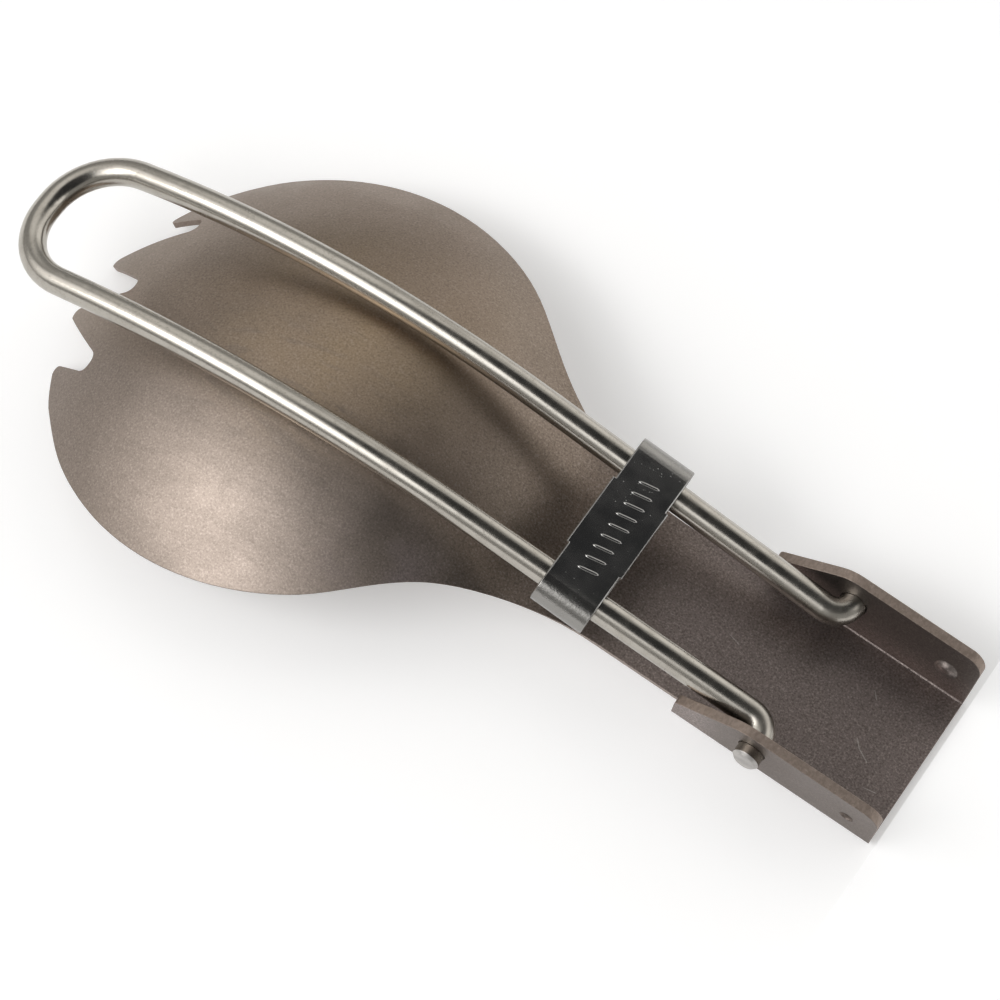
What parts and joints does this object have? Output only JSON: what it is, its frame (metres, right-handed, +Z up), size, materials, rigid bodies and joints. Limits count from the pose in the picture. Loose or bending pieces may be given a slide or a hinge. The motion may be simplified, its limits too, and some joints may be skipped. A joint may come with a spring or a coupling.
{
  "type": "folding camp shovel",
  "caption": "Small folding serving shovel: toothed round scoop, bent wire bail handle folded over its back on a pin hinge, and a sliding band clip on the handle.",
  "frame": {"origin": "bottom centre of the folded shovel's bounding box, lying on its teeth and the heel's edge", "axes": "+X from the teeth to the heel, along the longest side; +Y across, along the hinge axis; +Z up, with the scoop's hollow side down and the handle on top"},
  "size_m": [0.1104, 0.0522, 0.0197],
  "materials": {
    "blade_titanium": "matt bead-blasted titanium sheet",
    "wire_steel": "polished stainless wire",
    "clip_steel": "polished stainless strip"
  },
  "bodies": {
    "blade": {"blade": "blade_titanium"},
    "handle": {"handle_wire": "wire_steel"},
    "clip": {"slide_clip": "clip_steel"}
  },
  "joints": [
    {"name": "handle_fold", "type": "hinge", "parent": "blade", "child": "handle", "pos_m": [0.04018, 0, 0.00754], "axis": [0, 1, 0], "range_deg": [0, 186]},
    {"name": "clip_slide", "type": "slide", "parent": "handle", "child": "clip", "axis": [0.9763, 0, -0.2164], "range_m": [-0.011, 0.0048]}
  ]
}
